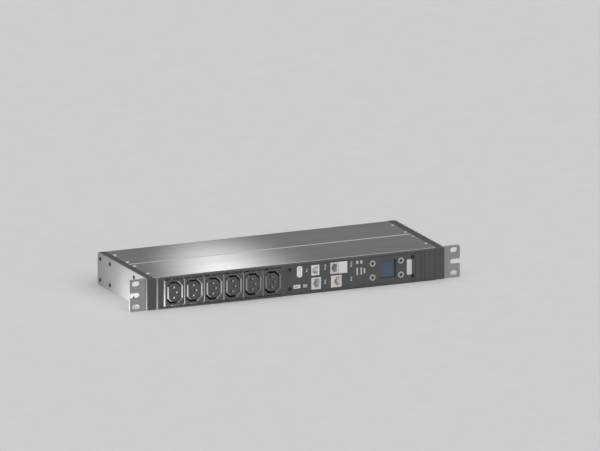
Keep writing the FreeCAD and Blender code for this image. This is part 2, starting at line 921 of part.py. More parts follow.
def button_switches():
    places = button_places + [reset_at]
    y = (board_front_y - switch_height, board_front_y)
    return [block(span(x, switch_size), y, span(z, switch_size)) for x, z in places]


# Display, badge and label

def display_block(margin, y):
    width, height = [side + 2 * margin for side in display_window]
    return block(span(display_at[0], width), y, span(display_at[1], height))


def display_holder():
    y = (glass_front_y + glass_thickness + module_thickness, board_front_y)
    outer = module_margin - holder_inset
    return display_block(outer, y).cut(display_block(outer - holder_wall, y))


def thin_plate(at, size):
    """A thin plate on the front of the faceplate."""
    y = (bezel_front_y - film, bezel_front_y)
    return block(span(at[0], size[0]), y, span(at[1], size[1]))


# Rear inlet

def inlet_section(size, y):
    return block(span(inlet_x, size[0]), y, span(0, size[1]))


def inlet_housing():
    """Flanged inlet: a deep cavity for the connector, closed at its floor."""
    flange_y = (body_depth, body_depth + inlet_flange[2])
    rear_y = flange_y[1]
    flange = rounded(inlet_section(inlet_flange, flange_y), ALONG_Y, inlet_flange_corner)
    body = inlet_section(inlet_body, (rear_y - inlet_body[2], body_depth))
    cavity = inlet_section(inlet_cavity, (rear_y - inlet_cavity[2], rear_y))
    cavity = cavity.makeChamfer(inlet_corner, edges_along(cavity, ALONG_Y))
    pin_y = (rear_y - inlet_body[2], rear_y - inlet_cavity[2])
    pin_holes = [
        block(span(x, inlet_pin[0]), pin_y, span(z, inlet_pin[1])) for x, z in inlet_pin_places()
    ]
    return flange.fuse(body).cut([cavity] + pin_holes + inlet_screw_holes()).removeSplitter()


def inlet_pin_places():
    """Line, neutral and earth."""
    return [
        (inlet_x - inlet_pin_spread, -inlet_pin_rise),
        (inlet_x + inlet_pin_spread, -inlet_pin_rise),
        (inlet_x, inlet_pin_rise),
    ]


def inlet_tab_y():
    """The inner end of the pins, where the wires start."""
    return body_depth + inlet_flange[2] - inlet_body[2] - inlet_tab_length


def inlet_pins():
    tip_y = body_depth + inlet_flange[2] - inlet_cavity[2] + inlet_pin[2]
    y = (inlet_tab_y(), tip_y)
    return [block(span(x, inlet_pin[0]), y, span(z, inlet_pin[1])) for x, z in inlet_pin_places()]


def inlet_seats():
    rear_y = body_depth + inlet_flange[2]
    return [Vector(inlet_x + side, rear_y, 0) for side in (-inlet_screw_offset, inlet_screw_offset)]


def inlet_screws():
    length = inlet_flange[2] + wall
    return [screw(seat, -ALONG_Y, screw_radius, length, screw_head) for seat in inlet_seats()]


def inlet_screw_holes():
    reach = -ALONG_Y * (inlet_flange[2] + wall)
    return [prism(screw_radius + thread_clearance, seat, reach) for seat in inlet_seats()]


# Power board and wiring

def standoff_places():
    xs = (power_board_x[0] + standoff_inset, power_board_x[1] - standoff_inset)
    ys = (power_board_y[0] + standoff_inset, power_board_y[1] - standoff_inset)
    return [(x, y) for x in xs for y in ys]


def standoff_holes():
    radius = board_screw_radius + thread_clearance
    reach = -ALONG_Z * (power_top_z + inner_height)
    return [prism(radius, Vector(x, y, power_top_z), reach) for x, y in standoff_places()]


def power_board():
    return block(power_board_x, power_board_y, (power_board_z, power_top_z)).cut(standoff_holes())


def board_standoffs():
    """Six-sided posts between the floor and the power board."""
    foot = -inner_height
    posts = [
        prism(standoff_radius, Vector(x, y, foot), ALONG_Z * board_lift)
        for x, y in standoff_places()
    ]
    return [post.cut(hole) for post, hole in zip(posts, standoff_holes())]


def power_board_screws():
    length = power_top_z + inner_height
    return [
        screw(Vector(x, y, power_top_z), -ALONG_Z, board_screw_radius, length, board_head)
        for x, y in standoff_places()
    ]


def supply_module():
    """The potted converter that feeds the control board."""
    top = power_top_z + supply_size[2]
    case = block(span(supply_x, supply_size[0]), span(supply_y, supply_size[1]), (power_top_z, top))
    return case.makeChamfer(supply_edge, edges_on(case, 2, top))


def current_sensor():
    """A block with a hole; the line wire to the outlets passes through it."""
    x = span(sensor_at, sensor_length)
    y = terminal_ys[0]
    body = block(x, span(y, sensor_size), (power_top_z, terminal_z + sensor_size / 2))
    start = Vector(x[0], y, terminal_z)
    return body.cut(prism(sensor_hole, start, ALONG_X * sensor_length, head_sides))


def terminals(x):
    """A three-way terminal block with a sloping wire side."""
    size = terminal_size
    body = block(span(x, size[0]), span(terminal_ys[1], size[1]), (power_top_z, power_top_z + size[2]))
    return body.makeChamfer(terminal_edge, edges_along(
        Part.Compound(edges_on(body, 2, power_top_z + size[2])), ALONG_Y
    ))


def wire(points):
    """An insulated wire along straight runs, with each corner cut off at an angle."""
    path = [points[0]]
    for before, corner, after in zip(points, points[1:], points[2:]):
        path.append(corner + (before - corner).normalize() * wire_bend)
        path.append(corner + (after - corner).normalize() * wire_bend)
    path.append(points[-1])
    end = many_sided(wire_radius, points[0], points[1] - points[0], wire_sides)
    return Part.makePolygon(path).makePipeShell([end], True, False, 1)


def supply_wires():
    """From the inlet's tabs to the input terminals."""
    wires = []
    face_x = input_terminal_x + terminal_size[0] / 2
    order = (2, 0, 1)
    for (x, z), row in zip(inlet_pin_places(), order):
        y = terminal_ys[row]
        near_x = face_x + 2 * wire_bend
        wires.append(wire([
            Vector(x, inlet_tab_y(), z),
            Vector(x, y, z),
            Vector(near_x, y, terminal_z),
            Vector(face_x, y, terminal_z),
        ]))
    return wires


def outlet_wires():
    """From the output terminals forward through the web to the busbars."""
    wires = []
    face_x = output_terminal_x - terminal_size[0] / 2
    bus_y = outlet_rear_y + busbar_thickness
    levels = (pin_rise, -pin_rise, 0)
    for y, x, level in zip(terminal_ys, wire_drop_x, levels):
        wires.append(wire([
            Vector(face_x, y, terminal_z),
            Vector(x, y, terminal_z),
            Vector(x, wire_level_y, level),
            Vector(x, bus_y, level),
        ]))
    return wires


def link_cable():
    """Flat cable with a plug at each end, from the control board back and down to the power board."""
    flat = span(link_x, link_width)
    plug_x = span(link_x, link_width + 2 * link_plug_margin)
    half = link_thickness / 2
    plug_y = (board_rear_y, board_rear_y + link_plug_depth)
    drop_z = power_top_z + link_plug_height
    bend_y = link_drop_y - link_bend
    run = block(flat, (plug_y[1], bend_y), (-half, half))
    centre = Vector(flat[0], bend_y, -link_bend)
    bend = Part.makeCylinder(link_bend + half, link_width, centre, ALONG_X)
    bend = bend.cut(Part.makeCylinder(link_bend - half, link_width, centre, ALONG_X))
    quarter = block(flat, (bend_y, bend_y + 2 * link_bend), (-link_bend, link_bend))
    drop = block(flat, span(link_drop_y, link_thickness), (drop_z, -link_bend))
    upper_plug = block(plug_x, plug_y, span(0, link_plug_height))
    lower_plug = block(plug_x, span(link_drop_y, link_plug_depth), (power_top_z, drop_z))
    return run.fuse([bend.common(quarter), drop, upper_plug, lower_plug]).removeSplitter()


# Build list: one entry for each node, a solid or a list of separate solids

right_bracket = bracket()
right_end_cap = end_cap()
right_side_screws = side_screws()

nodes = {
    "right_bracket": right_bracket,
    "left_bracket": mirrored(right_bracket),
    "right_end_cap": right_end_cap,
    "left_end_cap": mirrored(right_end_cap),
    "right_side_screws": right_side_screws,
    "left_side_screws": [mirrored(screw) for screw in right_side_screws],
    "front_profile": front_profile(),
    "rear_profile": rear_profile(),
    "top_screws": top_screws(),
    "front_bezel": front_bezel(),
    "blank_cover": blank_cover(),
    "line_busbar": busbar(0),
    "neutral_busbar": busbar(1),
    "earth_busbar": busbar(2),
    "control_faceplate": control_faceplate(),
    "faceplate_screws": faceplate_screws(),
    "control_board": control_board(),
    "control_board_screws": control_board_screws(),
    "contact_inserts": contact_inserts(),
    "data_port_shell": data_port_shell(),
    "port_tongues": port_tongues(),
    "service_port": service_port(),
    "status_lights": light_pipes((port_front_y, board_front_y), 0),
    "reset_button": reset_button(),
    "button_rings": [button_ring(x, z) for x, z in button_places],
    "button_switches": button_switches(),
    "display_glass": display_block(glass_margin, (glass_front_y, glass_front_y + glass_thickness)),
    "display_module": display_block(
        module_margin,
        (glass_front_y + glass_thickness, glass_front_y + glass_thickness + module_thickness),
    ),
    "display_holder": display_holder(),
    "blank_badge": rounded(thin_plate(badge_at, badge_size), ALONG_Y, badge_corner),
    "blank_label": thin_plate(label_at, label_size),
    "inlet_housing": inlet_housing(),
    "inlet_pins": inlet_pins(),
    "inlet_screws": inlet_screws(),
    "power_board": power_board(),
    "board_standoffs": board_standoffs(),
    "power_board_screws": power_board_screws(),
    "supply_module": supply_module(),
    "current_sensor": current_sensor(),
    "input_terminals": terminals(input_terminal_x),
    "output_terminals": terminals(output_terminal_x),
    "supply_wires": supply_wires(),
    "outlet_wires": outlet_wires(),
    "link_cable": link_cable(),
}
for number, x in enumerate(outlet_xs, 1):
    nodes[f"outlet_{number}"] = outlet(x)
for number, (x, z) in enumerate(button_places, 1):
    nodes[f"menu_button_{number}"] = menu_button(x, z)
for name, sizes in jacks.items():
    nodes[name] = jack(*sizes[:3])

os.makedirs("parts", exist_ok=True)
for name, shape in nodes.items():
    if isinstance(shape, list):
        shape = Part.Compound(shape)
    shape.exportStep(f"parts/{name}.step")
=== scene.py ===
import json
import math

import bmesh
import bpy
from mathutils import Matrix, Vector


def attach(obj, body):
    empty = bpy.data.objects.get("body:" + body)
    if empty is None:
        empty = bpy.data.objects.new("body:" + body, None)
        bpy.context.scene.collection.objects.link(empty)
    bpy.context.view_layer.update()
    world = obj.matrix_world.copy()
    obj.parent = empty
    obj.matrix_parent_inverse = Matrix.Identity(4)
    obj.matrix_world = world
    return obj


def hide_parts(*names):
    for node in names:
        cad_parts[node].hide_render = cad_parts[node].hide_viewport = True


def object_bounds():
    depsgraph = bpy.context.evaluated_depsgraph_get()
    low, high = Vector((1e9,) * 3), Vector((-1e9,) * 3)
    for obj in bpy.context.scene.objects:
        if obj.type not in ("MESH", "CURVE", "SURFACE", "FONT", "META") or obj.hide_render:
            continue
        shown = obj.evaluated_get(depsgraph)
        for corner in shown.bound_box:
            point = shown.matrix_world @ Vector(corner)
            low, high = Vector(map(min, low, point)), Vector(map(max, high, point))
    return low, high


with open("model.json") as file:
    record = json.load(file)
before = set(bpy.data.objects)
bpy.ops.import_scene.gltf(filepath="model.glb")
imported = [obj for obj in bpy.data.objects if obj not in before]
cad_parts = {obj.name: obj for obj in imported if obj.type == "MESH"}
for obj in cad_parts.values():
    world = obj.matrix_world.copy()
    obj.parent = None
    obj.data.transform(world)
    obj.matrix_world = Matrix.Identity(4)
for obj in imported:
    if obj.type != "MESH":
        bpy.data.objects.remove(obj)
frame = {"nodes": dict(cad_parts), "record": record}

cad_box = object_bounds()
MM = 0.001
MERGED = 2e-6  # metres between corners that become one
FLAT = math.radians(1)  # two faces up to this angle are one plane
SHARP = math.radians(32)  # two faces from this angle on meet in an edge
QUARTER = math.pi / 2


# Shader maths

OBJECT_PLACE, Y_PART = 3, 1  # outputs of the coordinate node and of the node that splits it
MIX_FACTOR, MIX_LOW, MIX_HIGH, MIX_COLOUR = 0, 6, 7, 2  # inputs and output of a mix of colours
BUMP_HEIGHT = 0.0001  # metres
# SHADOW is the colour of shade painted into a finish behind a given depth, in place of a cast
# shadow
SHADOW = (0.004, 0.004, 0.004)
SHADOW_RISE = 700  # per metre of depth, how fast the painted shade comes in


class Field:
    """A socket of a material's nodes, for sums and for further nodes."""

    def __init__(self, tree, socket=None):
        self.tree = tree
        self.socket = socket

    def node(self, kind, settings, sockets, out=0):
        """Any node: its type, its settings, and the values or links of its sockets."""
        made = self.tree.nodes.new(kind)
        for key, value in settings.items():
            setattr(made, key, value)
        for key, value in sockets.items():
            if isinstance(value, Field):
                self.tree.links.new(value.socket, made.inputs[key])
            else:
                made.inputs[key].default_value = value
        return Field(self.tree, made.outputs[out] if made.outputs else None)

    def math(self, operation, other):
        return self.node("ShaderNodeMath", {"operation": operation}, {0: self, 1: other})

    def __add__(self, other):
        return self.math("ADD", other)

    def __sub__(self, other):
        return self.math("SUBTRACT", other)

    def __mul__(self, other):
        return self.math("MULTIPLY", other)


def object_place(start):
    """Object coordinates in metres."""
    return start.node("ShaderNodeTexCoord", {}, {}, out=OBJECT_PLACE)


def noise(start, scale, detail):
    """Noise from 0 to 1 with its own stretch along each axis."""
    place = start.node(
        "ShaderNodeVectorMath", {"operation": "MULTIPLY"}, {0: object_place(start), 1: scale}
    )
    return start.node(
        "ShaderNodeTexNoise", {}, {"Vector": place, "Scale": 1.0, "Detail": detail}
    )


def between(start, mask, low, high):
    """A colour between two, by a mask. Each of the two is three numbers or a field."""
    low, high = (end if isinstance(end, Field) else (*end, 1) for end in (low, high))
    return start.node(
        "ShaderNodeMix", {"data_type": "RGBA", "clamp_factor": True},
        {MIX_FACTOR: mask, MIX_LOW: low, MIX_HIGH: high}, out=MIX_COLOUR
    )


def surface(name, colours, rough, broad, fine, tint, spread, bump, constants, painted_shade_from=None):
    """A finish of two noises. Both tint it, and the fine one gives its roughness and bumps.

    Broad and fine are each a stretch and a detail. Tint is the share of each noise in the
    colour, and what is taken off their sum. Behind the depth along Y, in mm, shade is painted
    in: the colour turns dark.
    """
    material = bpy.data.materials.new(name)
    material.use_nodes = True
    material.node_tree.nodes.clear()
    start = Field(material.node_tree)
    clouds = noise(start, *broad)
    grain = noise(start, *fine)
    colour = between(start, clouds * tint[0] + grain * tint[1] - tint[2], *colours)
    # Painted shade: the colour darkens behind the given depth along Y, standing in for shadow
    if painted_shade_from is not None:
        depth = start.node("ShaderNodeSeparateXYZ", {}, {0: object_place(start)}, out=Y_PART)
        colour = between(start, (depth - painted_shade_from * MM) * SHADOW_RISE, colour, SHADOW)
    normal = start.node(
        "ShaderNodeBump", {}, {"Height": grain, "Strength": bump, "Distance": BUMP_HEIGHT}
    )
    shader = start.node("ShaderNodeBsdfPrincipled", {}, {
        "Base Color": colour, "Roughness": grain * spread + (rough - spread / 2),
        "Normal": normal, **constants,
    })
    start.node("ShaderNodeOutputMaterial", {}, {"Surface": shader})
    return material


def brushed_metal(name, dark, light, rough):
    """Metal brushed along X: broad soft bands and fine scratches."""
    return surface(
        name, (dark, light), rough, broad=((3, 110, 110), 2.0), fine=((14, 2600, 2600), 3.0),
        tint=(1.4, 0.4, 0.4), spread=0.06, bump=0.05, constants={"Metallic": 1.0}
    )


def satin_metal(name, dark, light, rough, metallic=1.0):
    """Metal with a fine even grain and faint clouds."""
    return surface(
        name, (dark, light), rough, broad=((22, 22, 22), 3.0), fine=((1500, 1500, 1500), 2.0),
        tint=(1.2, 0.5, 0.35), spread=0.14, bump=0.3, constants={"Metallic": metallic}
    )


def moulded(name, dark, light, rough, grain_size=0.7, coat=0.0, painted_shade_from=None):
    """Moulded or painted surface with a fine texture; the grain's size is in mm. Behind an
    optional depth along Y, in mm, shade is painted into its colour.
    """
    scale = 1 / (grain_size * MM)
    return surface(
        name, (dark, light), rough, broad=((35, 35, 35), 2.0), fine=((scale, scale, scale), 2.0),
        tint=(0.9, 0.7, 0.3), spread=0.2, bump=0.2, constants={"Coat Weight": coat}, painted_shade_from=painted_shade_from
    )


# Finishes: the kind, its dark and light colour, its roughness, and what else the kind takes

MOAT_PAINTED_SHADE_FROM = -4.2  # mm along Y, from where shade is painted into the outlets' finish in place of the moats' shadow
LOOKS = {
    "brushed_aluminium": (brushed_metal, (0.40, 0.405, 0.41), (0.52, 0.525, 0.53), 0.4),
    "satin_metal": (satin_metal, (0.26, 0.265, 0.27), (0.33, 0.335, 0.34), 0.5, 0.5),
    "dark_end": (moulded, (0.056, 0.058, 0.058), (0.070, 0.072, 0.072), 0.5),
    "front_grey": (moulded, (0.060, 0.063, 0.062), (0.074, 0.077, 0.076), 0.55),
    # the outlets' finish carries painted shade behind the front, standing in for the shadow in
    # the sockets' moats
    "outlet_grey": (
        moulded, (0.062, 0.063, 0.063), (0.078, 0.079, 0.079), 0.42, 0.7, 0.0, MOAT_PAINTED_SHADE_FROM
    ),
    "tinned_strip": (satin_metal, (0.55, 0.55, 0.53), (0.70, 0.70, 0.68), 0.3),
    "board": (moulded, (0.015, 0.10, 0.045), (0.02, 0.14, 0.06), 0.35, 3.0, 0.3),
    "light_screw": (satin_metal, (0.46, 0.46, 0.46), (0.58, 0.58, 0.58), 0.4, 0.6),
    "dark_screw": (satin_metal, (0.008, 0.008, 0.008), (0.016, 0.016, 0.016), 0.5, 0.2),
    "pale_jack": (moulded, (0.36, 0.37, 0.37), (0.43, 0.44, 0.44), 0.4),
    "grey_jack": (moulded, (0.54, 0.57, 0.55), (0.62, 0.65, 0.63), 0.4),
    "slate_jack": (moulded, (0.53, 0.54, 0.54), (0.61, 0.62, 0.62), 0.4),
    "white_jack": (moulded, (0.60, 0.56, 0.54), (0.70, 0.66, 0.64), 0.4),
    "insert_grey": (moulded, (0.10, 0.11, 0.105), (0.14, 0.15, 0.145), 0.45),
    "port_metal": (satin_metal, (0.78, 0.78, 0.78), (0.88, 0.88, 0.88), 0.35, 0.15),
    "port_white": (moulded, (0.68, 0.68, 0.68), (0.78, 0.78, 0.78), 0.4),
    "light_window": (moulded, (0.42, 0.43, 0.43), (0.50, 0.51, 0.51), 0.25, 1.0, 0.4),
    "button_grey": (moulded, (0.060, 0.063, 0.062), (0.074, 0.077, 0.076), 0.5),
    "button_pale": (moulded, (0.36, 0.36, 0.36), (0.43, 0.43, 0.43), 0.45),
    "ring_grey": (moulded, (0.34, 0.35, 0.34), (0.42, 0.43, 0.42), 0.4),
    "switch_black": (moulded, (0.02, 0.02, 0.02), (0.03, 0.03, 0.03), 0.5),
    "display_pane": (moulded, (0.050, 0.074, 0.110), (0.056, 0.081, 0.119), 0.18, 6.0, 0.5),
    "display_field": (moulded, (0.050, 0.074, 0.110), (0.056, 0.081, 0.119), 0.3),
    "badge_white": (moulded, (0.52, 0.52, 0.52), (0.62, 0.62, 0.62), 0.35, 1.0, 0.3),
    "label_white": (moulded, (0.64, 0.64, 0.63), (0.72, 0.72, 0.71), 0.5),
    "inlet_black": (moulded, (0.02, 0.02, 0.02), (0.032, 0.032, 0.032), 0.45),
    "pin_metal": (satin_metal, (0.66, 0.62, 0.54), (0.80, 0.77, 0.70), 0.28),
    "module_black": (moulded, (0.03, 0.03, 0.033), (0.045, 0.045, 0.05), 0.5),
    "terminal_green": (moulded, (0.04, 0.22, 0.10), (0.06, 0.28, 0.13), 0.45),
    "wire_jacket": (moulded, (0.03, 0.03, 0.033), (0.05, 0.05, 0.055), 0.5),
    "flat_cable": (moulded, (0.30, 0.30, 0.31), (0.38, 0.38, 0.39), 0.5),
    "print_white": (moulded, (0.55, 0.55, 0.55), (0.65, 0.65, 0.65), 0.5),
    "floor_pale": (moulded, (0.66, 0.66, 0.67), (0.70, 0.70, 0.71), 0.7, 4.0),
}
FINISHES = {name: kind(name, *look) for name, (kind, *look) in LOOKS.items()}

slot_of = {part["node"]: part["material_slot"] for part in frame["record"]["subparts"]}
for name, node in frame["nodes"].items():
    node.data.materials.clear()
    node.data.materials.append(FINISHES[slot_of[name]])


# Making pieces; all lengths and places are in mm

def add_piece(name, bm, finish_name, body="housing", replaced=(), smooth=True):
    """A finished piece: its mesh, its finish, the body it rides on, the nodes it stands for."""
    mesh = bpy.data.meshes.new(name)
    bm.to_mesh(mesh)
    bm.free()
    if "custom_normal" in mesh.attributes:
        mesh.attributes.remove(mesh.attributes["custom_normal"])
    if smooth:
        mesh.shade_smooth()
        mesh.set_sharp_from_angle(angle=SHARP)
    mesh.materials.append(FINISHES[finish_name])
    piece = bpy.data.objects.new(name, mesh)
    bpy.context.scene.collection.objects.link(piece)
    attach(piece, body)
    if replaced:
        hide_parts(*replaced)


def merged_copy(node):
    """A copy of a CAD solid with its corners merged."""
    bm = bmesh.new()
    bm.from_mesh(frame["nodes"][node].data)
    bmesh.ops.remove_doubles(bm, verts=bm.verts[:], dist=MERGED)
    return bm


def rounded_off(bm, parts, width, segments, affect="EDGES", clamp=True):
    """Rounds edges or corners."""
    bmesh.ops.bevel(
        bm, geom=parts, offset=width * MM, offset_type="OFFSET", segments=segments,
        profile=0.5, affect=affect, clamp_overlap=clamp, material=-1
    )


def faced_outward(bm):
    bmesh.ops.recalc_face_normals(bm, faces=bm.faces[:])


def placed(bm, verts, size, turn, middle):
    """Gives a shape of size 1 its size, its turn and its place."""
    bmesh.ops.scale(bm, vec=Vector(size) * MM, verts=verts)
    bmesh.ops.rotate(bm, cent=(0, 0, 0), matrix=turn, verts=verts)
    bmesh.ops.translate(bm, vec=Vector(middle) * MM, verts=verts)


def drawn_out(bm, faces, depth):
    """Draws faces out along Y."""
    made = bmesh.ops.extrude_face_region(bm, geom=faces)["geom"]
    moved = [part for part in made if isinstance(part, bmesh.types.BMVert)]
    bmesh.ops.translate(bm, vec=(0, depth * MM, 0), verts=moved)


def facing(face):
    """The way a face looks, rounded."""
    face.normal_update()
    return tuple(round(part, 2) for part in face.normal)


def nearest(point, edge):
    """The point of an edge that is nearest to a point."""
    start, end = (vert.co for vert in edge.verts)
    along = end - start
    share = (point - start).dot(along) / along.length_squared
    return start + along * max(0, min(1, share))


def distance(one, other):
    """The least distance between two edges of one face."""
    pairs = [(vert.co, other) for vert in one.verts] + [(vert.co, one) for vert in other.verts]
    return min((point - nearest(point, edge)).length for point, edge in pairs)


def has_room(edge, sharp, room):
    """Whether the other sharp edges of an edge's faces keep a distance from it.

    Edges that share a corner with it don't count.
    """
    near = {other for face in edge.link_faces for other in face.edges if other in sharp}
    return all(
        set(other.verts) & set(edge.verts) or distance(edge, other) > room for other in near
    )


OUTLETS = [f"outlet_{number}" for number in range(1, 7)]
FRONT_ONLY = {"front_bezel", *OUTLETS}  # no edge of these is rounded behind the next number
ROUNDED_TO = -4.5
EDGE_ROOM = 2.2  # widths of rounding that an edge's faces have to hold
EDGE_SEGMENTS = 2


def softened(node, width, body="housing"):
    """A copy of a CAD solid with its sharp edges rounded by a small width."""
    bm = merged_copy(node)
    bmesh.ops.dissolve_limit(
        bm, angle_limit=FLAT, use_dissolve_boundaries=False,
        verts=bm.verts[:], edges=bm.edges[:], delimit=set()
    )
    angles = {edge: edge.calc_face_angle() for edge in bm.edges}
    curved = {
        face for edge, angle in angles.items() if FLAT < angle < SHARP
        for face in edge.link_faces
    }
    flat_sides = {facing(face) for face in bm.faces if face not in curved}
    sharp = {edge for edge, angle in angles.items() if angle >= SHARP}
    roomy = [e for e in angles if e in sharp and has_room(e, sharp, EDGE_ROOM * width * MM)]
    if node in FRONT_ONLY:
        roomy = [e for e in roomy if all(vert.co.y < ROUNDED_TO * MM for vert in e.verts)]
    rounded_off(bm, roomy, width, EDGE_SEGMENTS, clamp=False)
    for face in bm.faces:
        face.smooth = facing(face) not in flat_sides
    add_piece(node + "_finished", bm, slot_of[node], body, (node,), smooth=False)


def turn_to(axis):
    """The turn from Z to an axis."""
    return Vector((0, 0, 1)).rotation_difference(Vector(axis)).to_matrix()


def turned(bm, outline, centre, axis, steps):
    """A ring or a solid of revolution: an outline of (radius, height) spun about an axis."""
    turn = turn_to(axis)
    middle = Vector(centre) * MM
    points = [bm.verts.new(middle + turn @ (Vector((r, 0, h)) * MM)) for r, h in outline]
    edges = [bm.edges.new(pair) for pair in zip(points, points[1:] + points[:1])]
    bmesh.ops.spin(
        bm, geom=points + edges, cent=middle, axis=turn @ Vector((0, 0, 1)),
        angle=2 * math.pi, steps=steps, use_merge=True
    )


SCREW_STEPS = 24
SCREW_SHANK = 1.5
STAR_POINTS, STAR_DEPTH = 6, 0.14
STAR_RADIUS = 0.5  # of the head's radius
ON_RECESS = 1e-6  # metres


def screw(bm, seat, axis, head, length):
    """A pan-head screw with a star recess; the axis points out of the surface."""
    radius, height = head
    recess = STAR_RADIUS * radius
    outline = [
        (0, -length), (SCREW_SHANK, -length), (SCREW_SHANK, 0),
        (radius, 0), (radius, 0.4 * height), (0.93 * radius, 0.75 * height),
        (0.76 * radius, 0.95 * height), (recess * 1.12, height),
        (recess, 0.88 * height), (recess, 0.3 * height), (0, 0.3 * height),
    ]
    before = len(bm.verts)
    turned(bm, outline, seat, axis, SCREW_STEPS)
    bm.verts.ensure_lookup_table()
    centre, out = Vector(seat) * MM, Vector(axis)
    across = turn_to(axis) @ Vector((1, 0, 0))
    for vert in bm.verts[before:]:
        arm = vert.co - centre
        flat = arm - out * arm.dot(out)
        if abs(flat.length - recess * MM) < ON_RECESS and arm.dot(out) > 0:
            angle = math.atan2(flat.dot(out.cross(across)), flat.dot(across))
            vert.co -= flat * (STAR_DEPTH - STAR_DEPTH * math.cos(STAR_POINTS * angle))


def screws(node, finish_name, seats, head, length):
    """One piece of screws in place of a node; each seat is a place and an axis."""
    bm = bmesh.new()
    for seat, axis in seats:
        screw(bm, seat, axis, head, length)
    bmesh.ops.remove_doubles(bm, verts=bm.verts[:], dist=MERGED)
    bmesh.ops.delete(bm, geom=[e for e in bm.edges if e.is_wire], context="EDGES")
    faced_outward(bm)
    add_piece(node + "_finished", bm, finish_name, replaced=(node,))


def rounded_face(bm, centre, size, corner, y):
    """An upright face with rounded corners."""
    verts = bmesh.ops.create_grid(bm, x_segments=1, y_segments=1, size=0.5)["verts"]
    placed(bm, verts, (*size, 1), Matrix.Rotation(QUARTER, 3, "X"), (centre[0], y, centre[1]))
    rounded_off(bm, verts, corner, 6, affect="VERTICES")


def rounded_tube(bm, centre, size, corner, wall, ends):
    """A sleeve along Y with rounded corners."""
    before = set(bm.faces)
    rounded_face(bm, centre, size, corner, ends[0])
    face = next(f for f in bm.faces if f not in before)
    bmesh.ops.inset_individual(bm, faces=[face], thickness=wall * MM, use_even_offset=True)
    ring = [f for f in bm.faces if f not in before and f is not face]
    bmesh.ops.delete(bm, geom=[face], context="FACES_ONLY")
    drawn_out(bm, ring, ends[1] - ends[0])


# Solids with rounded edges

EDGE_WIDTHS = {
    "left_bracket": 0.35, "right_bracket": 0.35, "left_end_cap": 0.25, "right_end_cap": 0.25,
    "front_profile": 0.14, "rear_profile": 0.14, "front_bezel": 0.2, "blank_cover": 0.15,
    "control_faceplate": 0.12, "serial_jack": 0.25, "sensor_jack": 0.25,
    "upper_network_jack": 0.25, "lower_network_jack": 0.25, "service_port": 0.25,
    "status_lights": 0.3, "inlet_housing": 0.15, "inlet_pins": 0.4, "port_tongues": 0.2,
    "display_glass": 0.2, "blank_badge": 0.1, "blank_label": 0.08,
    **{outlet: 0.22 for outlet in OUTLETS},
}
BUTTON_EDGE_WIDTHS = {
    **{f"menu_button_{number}": 0.12 for number in range(1, 5)}, "reset_button": 0.3,
}
for node, width in EDGE_WIDTHS.items():
    softened(node, width)
for button, width in BUTTON_EDGE_WIDTHS.items():
    softened(button, width, button)


# Screws

PANEL_Y = -6.5
PAN_HEAD, PANEL_HEAD = (2.8, 0.8), (2.5, 0.9)  # radius and height
SIDE_X, SIDE_SCREW_YS, SIDE_SCREW_ZS, SIDE_SCREW_LENGTH = 217.5, (38, 117, 149), (-14.5, 14.5), 8
TOP_Z, TOP_SCREW_XS, TOP_SCREW_YS, TOP_SCREW_LENGTH = 21.7, (-203, 203), (24, 68, 92, 134), 6.4
PANEL_SCREW_XS, PANEL_SCREW_ZS, PANEL_SCREW_LENGTH = (-9.29, 170.3), (-12.7, 13.7), 7
INLET_Y, INLET_SCREW_XS, INLET_SCREW_LENGTH = 160.5, (144, 186), 4.5

for word, side in (("left", -1), ("right", 1)):
    seats = [
        ((side * SIDE_X, y, z), (side, 0, 0)) for y in SIDE_SCREW_YS for z in SIDE_SCREW_ZS
    ]
    screws(word + "_side_screws", "dark_screw", seats, PAN_HEAD, SIDE_SCREW_LENGTH)
seats = [((x, y, TOP_Z), (0, 0, 1)) for x in TOP_SCREW_XS for y in TOP_SCREW_YS]
screws("top_screws", "light_screw", seats, PAN_HEAD, TOP_SCREW_LENGTH)
seats = [((x, PANEL_Y, z), (0, -1, 0)) for x in PANEL_SCREW_XS for z in PANEL_SCREW_ZS]
screws("faceplate_screws", "dark_screw", seats, PANEL_HEAD, PANEL_SCREW_LENGTH)
seats = [((x, INLET_Y, 0), (0, 1, 0)) for x in INLET_SCREW_XS]
screws("inlet_screws", "light_screw", seats, PAN_HEAD, INLET_SCREW_LENGTH)


# Button rings and the data port

RING = [(2.4, 0), (2.4, 0.45), (2.52, 0.6), (4.05, 0.6), (4.25, 0.45), (4.25, 0)]
RING_XS, RING_ZS, RING_STEPS = (111.61, 153.06), (-9.2, 10.2), 48
PORT_CENTRE = (4.81, 9.9)
PORT_FRONT, PORT_REAR = -7.1, 7.9

bm = bmesh.new()
for x in RING_XS:
    for z in RING_ZS:
        turned(bm, RING, (x, PANEL_Y, z), (0, -1, 0), RING_STEPS)
faced_outward(bm)
add_piece("button_rings_finished", bm, "ring_grey", replaced=("button_rings",))

bm = bmesh.new()
rounded_tube(bm, PORT_CENTRE, (7.5, 15.0), corner=2.6, wall=1.1, ends=(PORT_FRONT, PANEL_Y))
rounded_tube(bm, PORT_CENTRE, (5.9, 13.4), corner=1.4, wall=0.4, ends=(PANEL_Y, PORT_REAR))
faced_outward(bm)
add_piece("data_port_shell_finished", bm, "port_metal", replaced=("data_port_shell",))


# Jack inserts with their contact wires

JACKS = {  # finish of the insert and number of wires
    "serial_jack": ("port_white", 6), "sensor_jack": ("grey_jack", 8),
    "upper_network_jack": ("pale_jack", 8), "lower_network_jack": ("white_jack", 8),
}
INSERT_EDGE, WIRE_EDGE = 0.1, 0.08
WIRE_SIZE, WIRE_PITCH = (0.3, 6.6, 0.36), 1.02
WIRE_Y, WIRE_INSET = -1.3, 0.95
INSERT_LEAN = Matrix.Rotation(math.atan2(1.8, 7.0), 3, "Z")


def slanted_wire(bm, middle):
    """A contact wire of a jack, leaning inwards like the insert it lies on."""
    verts = bmesh.ops.create_cube(bm, size=1)["verts"]
    placed(bm, verts, WIRE_SIZE, INSERT_LEAN, middle)
    edges = list(dict.fromkeys(edge for vert in verts for edge in vert.link_edges))
    rounded_off(bm, edges, WIRE_EDGE, 2)


